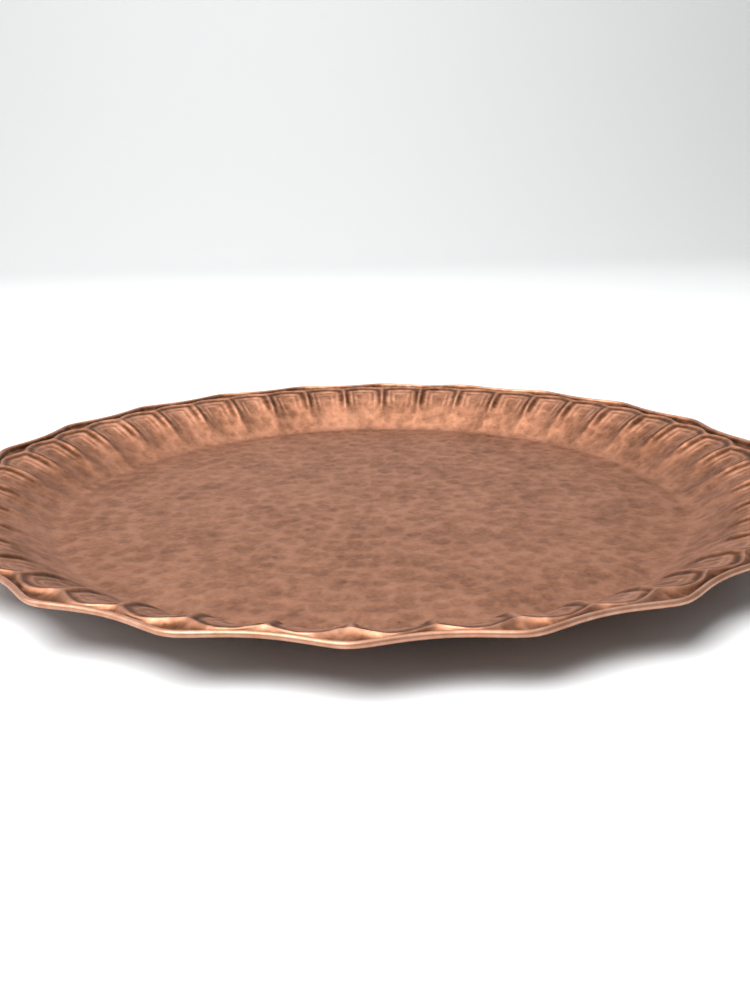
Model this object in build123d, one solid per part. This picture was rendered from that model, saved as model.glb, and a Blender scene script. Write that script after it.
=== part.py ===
from build123d import *
import math
import os

# A round copper serving tray, raised from one sheet. Its edge is rolled over a wire.
# Millimetres, +Z up, origin at the middle of the underside, where the tray rests.

TRAY_D = 350.0          # across the rim, from point to opposite point
HEIGHT = 19.0           # table to the top of the rolled edge
BAYS = 22               # hollow bays around the rim, with a point between each two
PETALS = 44             # rounded petals around the top of the wall, two to a bay
SHEET = 0.5             # thickness of the copper sheet
WIRE_D = 1.0            # stiffening wire inside the rolled edge
WIRE_PLAY = 0.05        # gap between the wire and the sheet rolled round it
BAY_DEPTH = 4.4         # how far the middle of a bay lies inside the circle of points
FLOOR_R = 132.0         # flat floor
NOTCH_R = 164.0         # shoulder between wall and border, in the notch between two petals
PETAL_R = 167.6         # and at the tip of a petal
SHOULDER_Z = 17.6       # height of the shoulder, at the middle of the sheet
BORDER_DIP = 0.7        # the border is hollowed below the shoulder by this much
STEEPER_FOOT = 0.8      # below 1, the wall is steep at its foot and gentle at its top
ROUNDING = 0.25         # softness of points and notches, as a part of half a bay or petal
ROLL_FROM = 150.0       # where the sheet meets the roll, in degrees above outward
ROLL_TO = -120.0        # where the rolled lip ends, under the border
STEPS_PER_BAY = 8       # places worked out along each bay
ROLL_STEPS = 9          # places worked out around the roll
WIRE_SIDES = 12         # places worked out around the wire

WIRE_R = WIRE_D / 2
ROLL_R = WIRE_R + WIRE_PLAY + SHEET / 2     # middle of the sheet round the wire
EDGE_R = ROLL_R + SHEET / 2                 # outside of the rolled edge
WIRE_Z = HEIGHT - EDGE_R
WIRE_POINT_R = TRAY_D / 2 - EDGE_R
WIRE_BAY_R = WIRE_POINT_R - BAY_DEPTH
NECK = 2.8 * ROLL_R                         # the border ends this far inside the wire
COUNT = BAYS * STEPS_PER_BAY


def arch(angle, repeats):
    """Rises from 0 to 1 and back in each repeat around the tray, round at the middle
    and with a softened turn where two repeats meet."""
    half = math.pi / repeats
    from_end = abs((angle + half) % (2 * half) - half) / half
    reach = (math.hypot(from_end, ROUNDING) - ROUNDING) / (math.hypot(1, ROUNDING) - ROUNDING)
    return reach * (2 - reach)


def outline(end_r, middle_r, repeats=BAYS, outward=0.0):
    """Closed outline that passes end_r where its repeats meet and middle_r between,
    moved outward square to itself."""
    def place(angle):
        r = end_r + (middle_r - end_r) * arch(angle, repeats)
        return Vector(r * math.cos(angle), r * math.sin(angle))

    angles = [2 * math.pi * i / COUNT for i in range(COUNT)]
    places = []
    for angle in angles:
        along = (place(angle + 1e-4) - place(angle - 1e-4)).normalized()
        places.append(place(angle) + Vector(along.Y, -along.X) * outward)
    return places


def between(inner, outer, share):
    """Outline a given share of the way from one outline to another."""
    return [a + (b - a) * share for a, b in zip(inner, outer)]


def lifted(places, z):
    """The same outline at height z."""
    return [Vector(p.X, p.Y, z) for p in places]


def sheet_middle():
    """Outlines along the middle of the sheet, from the floor to the rolled lip."""
    floor_z = SHEET / 2
    floor = outline(FLOOR_R, FLOOR_R)
    shoulder = outline(NOTCH_R, PETAL_R, PETALS)
    neck = outline(WIRE_POINT_R, WIRE_BAY_R, outward=-NECK)
    rings = [lifted(outline(FLOOR_R - 6, FLOOR_R - 6), floor_z), lifted(floor, floor_z)]
    for share in (0.1, 0.2, 0.35, 0.5, 0.65, 0.8, 0.9, 1.0):
        along = share ** STEEPER_FOOT
        rise = along * along * (3 - 2 * along)
        z = floor_z + (SHOULDER_Z - floor_z) * rise
        rings.append(lifted(between(floor, shoulder, share), z))
    for share in (0.25, 0.5, 0.75, 1.0):
        dip = BORDER_DIP * math.sin(math.pi / 2 * share)
        rings.append(lifted(between(shoulder, neck, share), SHOULDER_Z - dip))
    for step in range(ROLL_STEPS + 1):
        turn = math.radians(ROLL_FROM + (ROLL_TO - ROLL_FROM) * step / ROLL_STEPS)
        ring = outline(WIRE_POINT_R, WIRE_BAY_R, outward=ROLL_R * math.cos(turn))
        rings.append(lifted(ring, WIRE_Z + ROLL_R * math.sin(turn)))
    return rings


def offset_side(rings, distance):
    """One face of the sheet: every place moved square to the sheet by distance."""
    last = len(rings) - 1
    side = []
    for j, ring in enumerate(rings):
        before = rings[max(j - 1, 0)]
        after = rings[min(j + 1, last)]
        moved = []
        for i, place in enumerate(ring):
            around = ring[(i + 1) % COUNT] - ring[i - 1]
            outwards = after[i] - before[i]
            moved.append(place + outwards.cross(around).normalized() * -distance)
        side.append(moved)
    return side


def drawn(places):
    """Smooth curves round an outline, one to a bay, each from point to point."""
    curves = []
    for first in range(0, COUNT, STEPS_PER_BAY):
        run = [places[i % COUNT] for i in range(first, first + STEPS_PER_BAY + 1)]
        ends = [Vector(-p.Y, p.X) for p in (run[0], run[-1])]
        curves.append(Edge.make_spline(run, tangents=ends))
    return curves


def skin(rings, closed=False):
    """Ruled faces from each outline to the next, with flat faces at open ends."""
    curves = [drawn(ring) for ring in rings]
    pairs = list(zip(curves, curves[1:]))
    if closed:
        pairs.append((curves[-1], curves[0]))
    faces = [Face.make_surface_from_curves(*sides) for pair in pairs for sides in zip(*pair)]
    if not closed:
        faces += [Face(Wire(curves[0])), Face(Wire(curves[-1]))]
    return Solid(Shell(faces))


def make_dish():
    """Floor, wall, border and rolled edge: one sheet of even thickness."""
    middle = sheet_middle()
    inside = offset_side(middle, SHEET / 2)
    outside = offset_side(middle, -SHEET / 2)
    return skin(outside + inside[::-1])


def make_rim_wire():
    """Round wire, bent to the rim's outline and held inside the rolled edge."""
    rings = []
    for side in range(WIRE_SIDES):
        turn = 2 * math.pi * side / WIRE_SIDES
        ring = outline(WIRE_POINT_R, WIRE_BAY_R, outward=WIRE_R * math.cos(turn))
        rings.append(lifted(ring, WIRE_Z + WIRE_R * math.sin(turn)))
    return skin(rings, closed=True)


os.makedirs("parts", exist_ok=True)
for node, solid in (("tray_dish", make_dish()), ("rim_wire", make_rim_wire())):
    export_step(solid, f"parts/{node}.step")
    print(node, "valid", solid.is_valid, "cm3", round(solid.volume / 1000, 2))
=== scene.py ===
import math

import bpy
import numpy as np
from mathutils import Matrix, Vector


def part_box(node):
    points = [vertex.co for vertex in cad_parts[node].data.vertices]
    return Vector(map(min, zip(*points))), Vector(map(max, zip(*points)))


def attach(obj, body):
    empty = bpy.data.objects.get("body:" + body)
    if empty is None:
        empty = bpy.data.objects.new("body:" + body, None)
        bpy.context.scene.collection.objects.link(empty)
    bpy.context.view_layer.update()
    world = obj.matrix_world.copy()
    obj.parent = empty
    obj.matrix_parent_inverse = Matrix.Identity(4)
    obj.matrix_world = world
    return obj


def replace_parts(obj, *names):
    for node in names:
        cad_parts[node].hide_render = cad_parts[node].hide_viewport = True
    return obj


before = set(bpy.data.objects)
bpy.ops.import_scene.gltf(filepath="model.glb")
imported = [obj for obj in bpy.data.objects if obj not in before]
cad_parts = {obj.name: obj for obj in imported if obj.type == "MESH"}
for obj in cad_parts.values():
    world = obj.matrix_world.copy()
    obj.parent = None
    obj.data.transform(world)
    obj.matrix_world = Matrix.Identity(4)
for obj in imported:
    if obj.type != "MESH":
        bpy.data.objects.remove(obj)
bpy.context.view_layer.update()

# A hammered copper tray: a floor planished in rings, a wall beaten into petals, and a
# bayed border whose edge is rolled over a wire. Metres, in the frame's own axes.

MM = 0.001
dish_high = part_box("tray_dish")[1]
wire_low, wire_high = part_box("rim_wire")

WIRE_R = (wire_high.z - wire_low.z) / 2
WIRE_Z = (wire_high.z + wire_low.z) / 2
WIRE_POINT_R = wire_high.x - WIRE_R
EDGE_R = dish_high.z - WIRE_Z           # outside of the rolled edge
WIRE_PLAY = 0.05 * MM
SHEET = EDGE_R - WIRE_R - WIRE_PLAY
ROLL_R = EDGE_R - SHEET / 2             # middle of the sheet round the wire

BAYS = 22
PETALS = 2 * BAYS
BAY_DEPTH = 4.4 * MM
WIRE_BAY_R = WIRE_POINT_R - BAY_DEPTH
FLOOR_R = 132 * MM
NOTCH_R = 164.0 * MM
PETAL_R = 167.6 * MM
FLOOR_Z = SHEET / 2
SHOULDER_Z = 17.6 * MM
BORDER_DIP = 0.7 * MM
NECK = 2.8 * ROLL_R
STEEPER_FOOT = 0.8                      # below 1: a steep foot and a gentle top
ROUNDING = 0.25
ROLL_FROM, ROLL_TO = math.radians(150), math.radians(-120)

COLUMNS = 40 * PETALS                   # places around the wall and the border
FLOOR_CELLS = COLUMNS // 8              # the floor has half as many places around it

SCOOP = 1.0 * MM                        # how deep a petal is beaten into the wall
CREST_H, CREST_W = 0.36 * MM, 1.2 * MM
GROOVE_D, GROOVE_W, GROOVE_IN = 0.42 * MM, 1.1 * MM, 2.1 * MM      # inside a petal's edge
LINE_H, LINE_W, LINE_IN = 0.2 * MM, 0.6 * MM, (4.6 * MM, 7.4 * MM)
RIB_H, RIB_W = 0.16 * MM, 1.2 * MM                                 # between two petals
CREASE_H, CREASE_W = 0.2 * MM, 1.1 * MM                            # out to each point

# Hammer marks: pitch, radius of the hammer's face, depth of a mark, seed.
FLOOR_MARKS = (7.6 * MM, 29 * MM, 0.28 * MM, 3.0)
WALL_MARKS = (5.8 * MM, 30 * MM, 0.15 * MM, 21.0)
UNDER_MARKS = (11 * MM, 120 * MM, 0.1 * MM, 40.0)


# ---- small maths -------------------------------------------------------------------

def smooth(low, high, value):
    """0 below low, 1 above high, and a smooth rise, 3t^2 - 2t^3, between them."""
    t = np.clip((value - low) / (high - low), 0, 1)
    return t * t * (3 - 2 * t)


def bell(value, width):
    """A bump of height 1 that falls off as exp(-(value / width)^2)."""
    return np.exp(-(value / width) ** 2)


def chance(*keys):
    """A repeatable number from -1 to 1 for whole-number keys: the fraction of a large
    sine, stretched."""
    mixed = sum(k * f for k, f in zip(keys, (127.1, 311.7, 74.7)))
    return (np.sin(mixed) * 43758.5453 % 1) * 2 - 1


def from_end(angle, repeats):
    """0 where two of the repeats around the tray meet, 1 at the middle of one."""
    half = math.pi / repeats
    return np.abs((angle + half) % (2 * half) - half) / half


def arch(angle, repeats):
    """Rises from 0 to 1 and back in each repeat: v(2 - v), where v is the distance from
    the repeat's end with its turn rounded off."""
    v = np.hypot(from_end(angle, repeats), ROUNDING) - ROUNDING
    v = v / (math.hypot(1, ROUNDING) - ROUNDING)
    return v * (2 - v)


def soft_least(a, b, softness):
    """The lesser of a and b, with the corner between them rounded."""
    gap = np.clip((softness - np.abs(a - b)) / softness, 0, 1)
    return np.minimum(a, b) - gap * gap * softness / 4


def outline(angle, end_r, middle_r, repeats=BAYS, outward=0.0):
    """Closed outline: radius end_r + (middle_r - end_r) arch(angle), moved outward
    square to itself."""
    def place(a):
        r = end_r + (middle_r - end_r) * arch(a, repeats)
        return np.stack([r * np.cos(a), r * np.sin(a)], -1)

    along = place(angle + 1e-4) - place(angle - 1e-4)
    along /= np.linalg.norm(along, axis=-1, keepdims=True)
    return place(angle) + outward * np.stack([along[..., 1], -along[..., 0]], -1)


def hammered(x, y, pitch, face_r, depth, seed):
    """Planishing marks. Each mark is a shallow bowl d^2 / (2 face_r) - depth, and the
    marks lie a pitch apart in rings round the middle, shaken a little out of place. The
    surface is the lowest of the bowls near it, with the ridges between them softened:
    -k log(sum of exp(-bowl / k)). Returns the height and how near it is to a ridge."""
    r, a = np.hypot(x, y), np.arctan2(y, x)
    softness = 0.09 * depth
    total = np.zeros(x.shape)
    for ring_step in (-1, 0, 1):
        ring = np.maximum(np.round(r / pitch) + ring_step, 0)
        count = np.maximum(np.round(2 * np.pi * ring), 1)
        turn = 2 * np.pi / count
        start = 0.5 * chance(ring, 7 * np.ones_like(ring), seed)
        for mark_step in (-1, 0, 1):
            mark = np.mod(np.round(a / turn - start) + mark_step, count)
            mark_r = pitch * (ring + 0.3 * chance(ring, mark, seed + 1))
            mark_a = turn * (mark + start + 0.3 * chance(ring, mark, seed + 2))
            d2 = (x - mark_r * np.cos(mark_a)) ** 2 + (y - mark_r * np.sin(mark_a)) ** 2
            bowl = d2 / (2 * face_r) - depth * (1 + 0.35 * chance(ring, mark, seed + 3))
            total += np.exp(-bowl / softness)
    lowest = np.minimum(-softness * np.log(total), 0)
    return lowest, smooth(-0.6 * depth, 0, lowest)


# ---- meshes ------------------------------------------------------------------------

def mesh_piece(name, points, quads, material, wear_and_painted_shade=None):
    """A closed piece from an array of points and an array of four-cornered faces."""
    mesh = bpy.data.meshes.new(name)
    mesh.vertices.add(len(points))
    mesh.vertices.foreach_set("co", np.asarray(points, np.float32).ravel())
    mesh.loops.add(quads.size)
    mesh.loops.foreach_set("vertex_index", quads.astype(np.int32).ravel())
    mesh.polygons.add(len(quads))
    mesh.polygons.foreach_set("loop_start", np.arange(0, quads.size, 4, dtype=np.int32))
    mesh.update(calc_edges=True)
    mesh.validate()
    mesh.shade_smooth()
    mesh.set_sharp_from_angle(angle=math.radians(50))
    if wear_and_painted_shade is not None:
        mesh.attributes.new("wear_and_painted_shade", "FLOAT", "POINT").data.foreach_set(
            "value", np.asarray(wear_and_painted_shade, np.float32).ravel())
    mesh.materials.append(material)
    piece = bpy.data.objects.new(name, mesh)
    bpy.context.scene.collection.objects.link(piece)
    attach(piece, "root")
    return piece


def ring_quads(rows, columns):
    """Faces of a grid of points that closes on itself both ways, like a torus."""
    i, j = np.meshgrid(np.arange(rows), np.arange(columns), indexing="ij")
    i2, j2 = (i + 1) % rows, (j + 1) % columns
    quads = np.stack([i * columns + j, i2 * columns + j, i2 * columns + j2,
                      i * columns + j2], -1)
    return quads.reshape(-1, 4)


# ---- the sheet from the foot of the wall to the rolled lip ---------------------------

def sheet_rows(angle):
    """Middle of the sheet as rows of places, from the foot of the wall outwards.
    Wall: each place goes straight from the floor circle to the petal outline, by a share
    s, while its height rises as 3t^2 - 2t^3 with t = s^0.8. Border: straight on to the
    neck beside the wire, dipping as a quarter sine. Neck: a cubic that turns up to the
    roll. Roll: a circle round the wire. Returns the places, with the number of rows up
    to the crest and to the neck."""
    floor = outline(angle, FLOOR_R, FLOOR_R)
    petal = outline(angle, NOTCH_R, PETAL_R, PETALS)
    neck = outline(angle, WIRE_POINT_R, WIRE_BAY_R, outward=-NECK)
    rows = []

    def add(flat, z):
        rows.append(np.concatenate([flat, np.full((len(angle), 1), z)], -1))

    lower_wall = np.linspace(0, 0.5, 11, endpoint=False)
    upper_wall = np.linspace(0.5, 1, 29)
    for share in np.concatenate([lower_wall, upper_wall]):
        t = share ** STEEPER_FOOT
        add(floor + (petal - floor) * share,
            FLOOR_Z + (SHOULDER_Z - FLOOR_Z) * t * t * (3 - 2 * t))
    crest = len(rows)
    for t in np.linspace(0, 1, 11)[1:]:
        add(petal + (neck - petal) * t, SHOULDER_Z - BORDER_DIP * math.sin(math.pi / 2 * t))
    low = (-NECK, SHOULDER_Z - BORDER_DIP)
    high = (ROLL_R * math.cos(ROLL_FROM), WIRE_Z + ROLL_R * math.sin(ROLL_FROM))
    reach = 1.6 * ROLL_R
    for t in np.linspace(0, 1, 6)[1:-1]:
        a, b = (1 + 2 * t) * (1 - t) ** 2, t * t * (3 - 2 * t)
        c, d = t * (1 - t) ** 2 * reach, t * t * (t - 1) * reach
        out = a * low[0] + b * high[0] + c + d * math.sin(ROLL_FROM)
        z = a * low[1] + b * high[1] - d * math.cos(ROLL_FROM)
        add(outline(angle, WIRE_POINT_R, WIRE_BAY_R, outward=out), z)
    neck_row = len(rows)
    for turn in np.linspace(ROLL_FROM, ROLL_TO, 21):
        add(outline(angle, WIRE_POINT_R, WIRE_BAY_R, outward=ROLL_R * math.cos(turn)),
            WIRE_Z + ROLL_R * math.sin(turn))
    return np.array(rows), crest, neck_row


def square_to(rows):
    """Unit normal of the sheet at each place: across the rows, crossed with along them."""
    around = np.roll(rows, -1, 1) - np.roll(rows, 1, 1)
    outwards = np.gradient(rows, axis=0)
    outwards[0] = (rows[0] * (1, 1, 0)) / 50
    normal = np.cross(outwards, around)
    return normal / np.linalg.norm(normal, axis=-1, keepdims=True)


def sheet_relief(rows, angle, crest, neck_row):
    """Height of the beaten and chased work above the plain sheet, and its tone: how rubbed it is,
    with painted shade added.
    Petals are scoops, deepest along their middle. Each has a raised crest round its tip,
    a groove inside the crest, and two fine raised lines inside the groove. The border
    is cupped, with a crease out to each point."""
    steps = np.linalg.norm(np.diff(rows, axis=0), axis=-1)
    run = np.concatenate([np.zeros((1, len(angle))), np.cumsum(steps, 0)])
    past_crest = run - run[crest - 1]
    share = run / run[crest - 1]
    on_wall = 1 - smooth(-0.3 * MM, 0.5 * MM, past_crest)
    r = np.linalg.norm(rows[..., :2], axis=-1)
    half_petal = r * math.pi / PETALS
    side = from_end(angle, PETALS)[None, :] * half_petal
    edge = soft_least(-past_crest, side, 1.0 * MM)

    across = 1 - (1 - np.clip(side / half_petal, 0, 1)) ** 2.2
    scoop = -SCOOP * across * smooth(0.1, 0.75, share) * smooth(0, 7 * MM, -past_crest)
    near_top = smooth(0.42, 0.7, share) * on_wall
    crest_line = bell(past_crest, CREST_W)
    groove = bell(edge - GROOVE_IN, GROOVE_W) * near_top
    line = sum(bell(edge - inside, LINE_W) for inside in LINE_IN) * near_top
    rib = bell(side, RIB_W) * near_top

    border_share = np.clip(past_crest / past_crest[neck_row], 0, 1)
    on_border = np.sin(math.pi * border_share)
    width = past_crest[neck_row][None, :]
    crease = bell(from_end(angle, BAYS)[None, :] * r * math.pi / BAYS, CREASE_W) * on_border
    cup = -0.07 * width * on_border

    x, y = rows[..., 0], rows[..., 1]
    wide, wide_ridge = hammered(x, y, *FLOOR_MARKS)
    fine, fine_ridge = hammered(x, y, *WALL_MARKS)
    at_foot = 1 - smooth(FLOOR_R, FLOOR_R + 6 * MM, r)
    row = np.arange(len(rows))[:, None]
    rolled = smooth(neck_row - 3, neck_row + 1, row)
    marks = wide * at_foot + fine * (1 - at_foot)
    ridge = wide_ridge * at_foot + fine_ridge * (1 - at_foot)

    relief = scoop + CREST_H * crest_line - GROOVE_D * groove + LINE_H * line
    relief += RIB_H * rib + CREASE_H * crease + cup + marks
    relief *= 1 - 0.85 * rolled
    # The tone is worn patina: bright on crests, lines, ribs, creases, hammer ridges and the roll,
    # and dark in the grooves. On top of that it holds painted shade: a dark band just inside the
    # roll, and the whole border darkened in place of its dark reflections and shade. The upper
    # wall is also made a little darker.
    neck_shade = bell(row - (neck_row - 3), 2.4)
    wear_and_painted_shade = (0.35 + 0.12 * crest_line + 0.1 * rib + 0.14 * line + 0.06 * crease
           + 0.07 * ridge + 0.18 * rolled - 0.22 * groove - 0.2 * neck_shade
           - 0.18 * on_border - 0.04 * on_wall * smooth(0.2, 0.5, share))
    return relief, np.clip(wear_and_painted_shade, 0, 1)


def wall_and_border(material):
    """The wall and the border, each a closed ring: the upper face of the sheet, then its
    under face back again. They meet at the crest."""
    angle = np.arange(COLUMNS) * (2 * math.pi / COLUMNS)
    rows, crest, neck_row = sheet_rows(angle)
    normal = square_to(rows)
    relief, wear_and_painted_shade = sheet_relief(rows, angle, crest, neck_row)
    middle = rows + normal * relief[..., None]
    upper = middle + normal * (SHEET / 2)
    under = middle - normal * (SHEET / 2)
    under[..., 2] = np.maximum(under[..., 2], 0)
    pieces = []
    for name, first, last, thinned in (("tray_wall", 0, crest, 3),
                                       ("tray_border", crest - 1, len(rows), 2)):
        back = np.unique(np.append(np.arange(first, last, thinned), last - 1))[::-1]
        points = np.concatenate([upper[first:last], under[back]])
        # Upper faces keep their tone. The under faces get 0.1 + 0.1 times it, which is painted
        # shade under the wall and border.
        faces_wear_and_painted_shade = np.concatenate([wear_and_painted_shade[first:last], 0.1 + 0.1 * wear_and_painted_shade[back]])
        piece = mesh_piece(name, points.reshape(-1, 3), ring_quads(len(points), COLUMNS),
                           material, faces_wear_and_painted_shade)
        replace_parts(piece, "tray_dish")
        pieces.append(piece)
    return pieces


# ---- the floor ---------------------------------------------------------------------

def disc(cells, radius):
    """A square grid of places pressed out into a disc: a place on the square of half
    side s goes to radius s, at the angle that its share along that side gives."""
    a, b = np.meshgrid(*2 * [np.linspace(-1, 1, cells + 1)], indexing="ij")
    wide = np.abs(a) > np.abs(b)
    r = np.where(wide, a, b)
    ratio = np.where(wide, b, a) / np.where(r == 0, 1, r)
    turn = np.where(wide, ratio * math.pi / 4, math.pi / 2 - ratio * math.pi / 4)
    return radius * r * np.cos(turn), radius * r * np.sin(turn)


def tray_floor(material):
    """The flat floor: a hammered upper face, and an under face with fainter marks that
    stays on or above the table."""
    n = FLOOR_CELLS + 1
    x, y = disc(FLOOR_CELLS, FLOOR_R)
    marks, ridge = hammered(x, y, *FLOOR_MARKS)
    below, below_ridge = hammered(x, y, *UNDER_MARKS)
    below = (below - below.min()) * (1 - smooth(FLOOR_R - 8 * MM, FLOOR_R, np.hypot(x, y)))
    top = np.stack([x, y, SHEET + marks], -1).reshape(-1, 3)
    base = np.stack([x, y, below], -1).reshape(-1, 3)
    index = np.arange(n * n).reshape(n, n)
    face = np.stack([index[:-1, :-1], index[1:, :-1], index[1:, 1:], index[:-1, 1:]], -1)
    face = face.reshape(-1, 4)
    loop = np.concatenate([index[:-1, 0], index[-1, :-1], index[:0:-1, -1], index[0, :0:-1]])
    after = np.roll(loop, -1)
    side = np.stack([loop, loop + n * n, after + n * n, after], -1)
    quads = np.concatenate([face, face[:, ::-1] + n * n, side])
    # Upper face: worn hammer ridges, lighter. Under face: a low tone, which is painted shade under
    # the floor.
    wear_and_painted_shade = np.concatenate([(0.34 + 0.07 * ridge).ravel(), (0.14 + 0.05 * below_ridge).ravel()])
    piece = mesh_piece("tray_floor", np.concatenate([top, base]), quads, material,
                       wear_and_painted_shade)
    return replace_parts(piece, "tray_dish")


def rim_wire(material):
    """Round wire along the rim: a circle of the wire's radius carried round the outline."""
    angle = np.arange(COLUMNS // 2) * (4 * math.pi / COLUMNS)
    sides = np.arange(16) * (2 * math.pi / 16)
    rows = [np.concatenate([outline(angle, WIRE_POINT_R, WIRE_BAY_R, outward=WIRE_R * math.cos(t)),
                            np.full((len(angle), 1), WIRE_Z + WIRE_R * math.sin(t))], -1)
            for t in sides[::-1]]
    points = np.array(rows)
    piece = mesh_piece("rim_wire_round", points.reshape(-1, 3),
                       ring_quads(len(rows), len(angle)), material)
    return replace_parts(piece, "rim_wire")


# ---- materials ---------------------------------------------------------------------

def node(tree, kind, place=(0, 0), **values):
    """Adds a node; values set its inputs by name, or its own settings in lower case."""
    made = tree.nodes.new(kind)
    made.location = place
    for key, value in values.items():
        name = key.replace("_", " ")
        if hasattr(made, key):
            setattr(made, key, value)
        else:
            made.inputs[name].default_value = value
    return made


def ramp(tree, place, source, stops):
    """A colour ramp on source, with (position, colour) stops."""
    made = node(tree, "ShaderNodeValToRGB", place)
    bar = made.color_ramp
    while len(bar.elements) < len(stops):
        bar.elements.new(0.5)
    for element, (position, colour) in zip(bar.elements, stops):
        element.position = position
        element.color = (*colour, 1)
    tree.links.new(source, made.inputs["Fac"])
    return made.outputs["Color"]


def maths(tree, place, operation, a, b, clamp=False):
    """One Math node on sockets or numbers."""
    made = node(tree, "ShaderNodeMath", place, operation=operation, use_clamp=clamp)
    for socket, value in zip(made.inputs, (a, b)):
        if isinstance(value, (int, float)):
            socket.default_value = value
        else:
            tree.links.new(value, socket)
    return made.outputs[0]


def spread(tree, place, value, amount, tone):
    """tone + amount * (value - 1/2)."""
    centred = maths(tree, place, "SUBTRACT", value, 0.5)
    scaled = maths(tree, (place[0] + 180, place[1]), "MULTIPLY", centred, amount)
    return maths(tree, (place[0] + 360, place[1]), "ADD", scaled, tone)


def noise(tree, place, coordinates, scale, detail=4.0, roughness=0.55):
    made = node(tree, "ShaderNodeTexNoise", place, Scale=scale, Detail=detail,
                Roughness=roughness)
    tree.links.new(coordinates, made.inputs["Vector"])
    return made.outputs["Fac"]


def antique_copper():
    """Beaten copper, browned in its hollows and rubbed pink and bright on its ridges, with painted
    shade carried in its tone: dark under faces, a dark band beside the roll and a darker border.
    """
    material = bpy.data.materials.new("antique_copper")
    material.use_nodes = True
    tree = material.node_tree
    tree.nodes.clear()
    out = node(tree, "ShaderNodeOutputMaterial", (900, 0))
    shader = node(tree, "ShaderNodeBsdfPrincipled", (600, 0), Metallic=1.0)
    tree.links.new(shader.outputs[0], out.inputs[0])
    place = node(tree, "ShaderNodeTexCoord", (-1200, 0)).outputs["Object"]
    wear_and_painted_shade = node(tree, "ShaderNodeAttribute", (-1200, 300), attribute_name="wear_and_painted_shade").outputs["Fac"]

    tone = wear_and_painted_shade
    for height, scale, amount in ((100, 34.0, 0.34), (-100, 170.0, 0.3), (-300, 520.0, 0.2)):
        spots = noise(tree, (-900, height), place, scale, 4.0, 0.6)
        tone = spread(tree, (-600, height), spots, amount, tone)
    colour = ramp(tree, (0, 200), tone, [
        (0.0, (0.045, 0.018, 0.009)), (0.2, (0.17, 0.070, 0.036)),
        (0.42, (0.42, 0.195, 0.115)), (0.66, (0.57, 0.32, 0.225)),
        (1.0, (0.80, 0.56, 0.46))])
    tree.links.new(colour, shader.inputs["Base Color"])
    rough = node(tree, "ShaderNodeMapRange", (0, -100), To_Min=0.58, To_Max=0.44)
    tree.links.new(tone, rough.inputs["Value"])
    tree.links.new(rough.outputs[0], shader.inputs["Roughness"])

    fine = noise(tree, (-300, -500), place, 900.0, 4.0, 0.65)
    bump = node(tree, "ShaderNodeBump", (300, -300), Strength=0.2, Distance=0.0002)
    tree.links.new(fine, bump.inputs["Height"])
    tree.links.new(bump.outputs[0], shader.inputs["Normal"])
    return material


def drawn_wire():
    """Drawn copper wire: bright, with fine lengthwise unevenness."""
    material = bpy.data.materials.new("drawn_copper_wire")
    material.use_nodes = True
    tree = material.node_tree
    shader = tree.nodes["Principled BSDF"]
    shader.inputs["Metallic"].default_value = 1.0
    place = node(tree, "ShaderNodeTexCoord", (-900, 0)).outputs["Object"]
    spots = noise(tree, (-600, 0), place, 260.0)
    colour = ramp(tree, (-300, 100), spots, [(0.3, (0.50, 0.26, 0.17)), (0.7, (0.78, 0.47, 0.34))])
    tree.links.new(colour, shader.inputs["Base Color"])
    rough = node(tree, "ShaderNodeMapRange", (-300, -200), To_Min=0.3, To_Max=0.45)
    tree.links.new(spots, rough.inputs["Value"])
    tree.links.new(rough.outputs[0], shader.inputs["Roughness"])
    return material


# ---- stage, light and camera ---------------------------------------------------------

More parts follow.
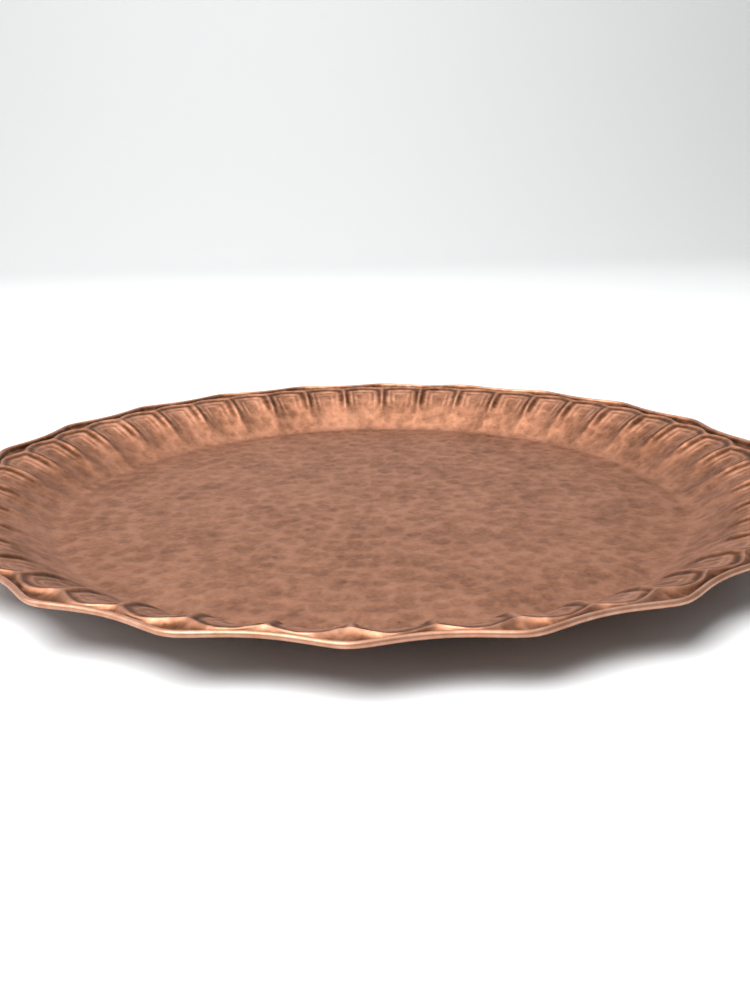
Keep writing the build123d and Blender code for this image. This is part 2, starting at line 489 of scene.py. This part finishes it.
def stage():
    """A white table that sweeps up into a pale wall."""
    bend, width, near, far = 0.9, 4.0, -2.0, 1.4
    turn = np.linspace(0, math.pi / 2, 24)
    y = np.concatenate([[near], far + bend * np.sin(turn), [far + bend]])
    z = np.concatenate([[0], bend * (1 - np.cos(turn)), [4.0]])
    x = np.array([-width, width])
    points = np.stack([np.broadcast_to(x, (len(y), 2)), np.stack([y, y], -1),
                       np.stack([z, z], -1)], -1).reshape(-1, 3)
    i = np.arange(len(y) - 1)
    quads = np.stack([2 * i, 2 * i + 1, 2 * i + 3, 2 * i + 2], -1)
    mesh = bpy.data.meshes.new("table_top")
    mesh.from_pydata(points.tolist(), [], quads.tolist())
    mesh.shade_smooth()
    material = bpy.data.materials.new("table_white")
    material.use_nodes = True
    shader = material.node_tree.nodes["Principled BSDF"]
    shader.inputs["Base Color"].default_value = (0.86, 0.865, 0.87, 1)
    shader.inputs["Roughness"].default_value = 0.6
    mesh.materials.append(material)
    table = bpy.data.objects.new("table_top", mesh)
    bpy.context.scene.collection.objects.link(table)


def light(name, place, target, size, power, colour=(1, 1, 1)):
    """A square soft light at place, facing target."""
    lamp = bpy.data.lights.new(name, "AREA")
    lamp.size = size
    lamp.energy = power
    lamp.color = colour
    made = bpy.data.objects.new(name, lamp)
    bpy.context.scene.collection.objects.link(made)
    made.location = place
    made.rotation_euler = (Vector(target) - Vector(place)).to_track_quat("-Z", "Y").to_euler()


def camera():
    """Low in front of the tray, as someone seated at the table sees it."""
    distance, height, sideways = 393.8 * MM, 128.9 * MM, 0.9 * MM
    turn, pitch, roll = math.radians(-5.92), math.radians(18.03), math.radians(-1.03)
    data = bpy.data.cameras.new("camera")
    data.lens = 33.87
    data.clip_start = 0.01
    made = bpy.data.objects.new("camera", data)
    bpy.context.scene.collection.objects.link(made)
    made.location = (sideways * math.cos(turn) + distance * math.sin(turn),
                     sideways * math.sin(turn) - distance * math.cos(turn), height)
    made.rotation_euler = (Matrix.Rotation(turn, 3, "Z")
                           @ Matrix.Rotation(math.pi / 2 - pitch, 3, "X")
                           @ Matrix.Rotation(roll, 3, "Z")).to_euler()
    bpy.context.scene.camera = made


copper = antique_copper()
tray_floor(copper)
wall_and_border(copper)
rim_wire(drawn_wire())
stage()
camera()
light("window", (-0.6, -0.6, 1.45), (0, 0, 0), 1.0, 37)
light("ceiling", (0.1, 0.5, 1.7), (0, 0, 0), 1.3, 10)
light("side_wall", (-1.5, -0.2, 0.7), (0, 0, 0), 1.0, 7)
light("backdrop", (0, 0.7, 1.9), (0, 2.3, 0.9), 1.0, 7)
world = bpy.data.worlds.new("room")
world.use_nodes = True
world.node_tree.nodes["Background"].inputs["Color"].default_value = (1.0, 1.0, 0.99, 1)
world.node_tree.nodes["Background"].inputs["Strength"].default_value = 0.33
bpy.context.scene.world = world
bpy.context.scene.view_settings.view_transform = "Standard"
